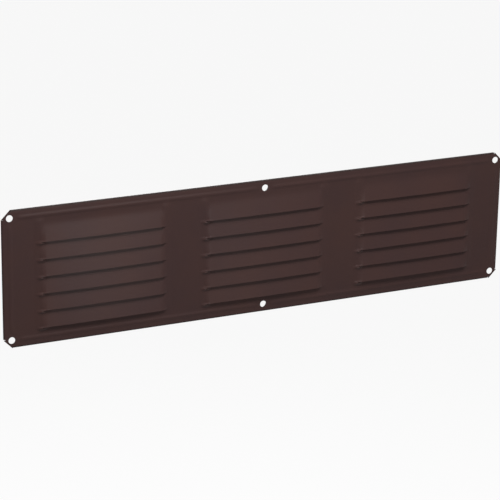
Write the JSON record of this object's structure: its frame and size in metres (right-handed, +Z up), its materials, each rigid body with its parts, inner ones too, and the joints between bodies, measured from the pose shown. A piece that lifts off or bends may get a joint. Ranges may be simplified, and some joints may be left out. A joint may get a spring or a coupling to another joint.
{
  "type": "soffit vent",
  "caption": "Long low louvred under-eave vent of painted sheet metal, with hooded louvres in banks, hemmed edges and a wire insect screen behind.",
  "frame": {"origin": "middle of the mounting plane: the back of the folded hem, half way along and half way up the panel", "axes": "+X along the 406.4 mm length, +Z up the 101.6 mm height with the louvre openings facing -Z, +Y into the soffit or wall behind"},
  "size_m": [0.4064, 0.0049, 0.1016],
  "materials": {
    "painted_sheet": "baked-on dark brown satin paint over aluminium sheet",
    "screen_wire": "bare drawn aluminium wire"
  },
  "bodies": {
    "root": {"louvre_panel": "painted_sheet", "screen_warp_wires": "screen_wire", "screen_weft_wires": "screen_wire"}
  },
  "joints": []
}
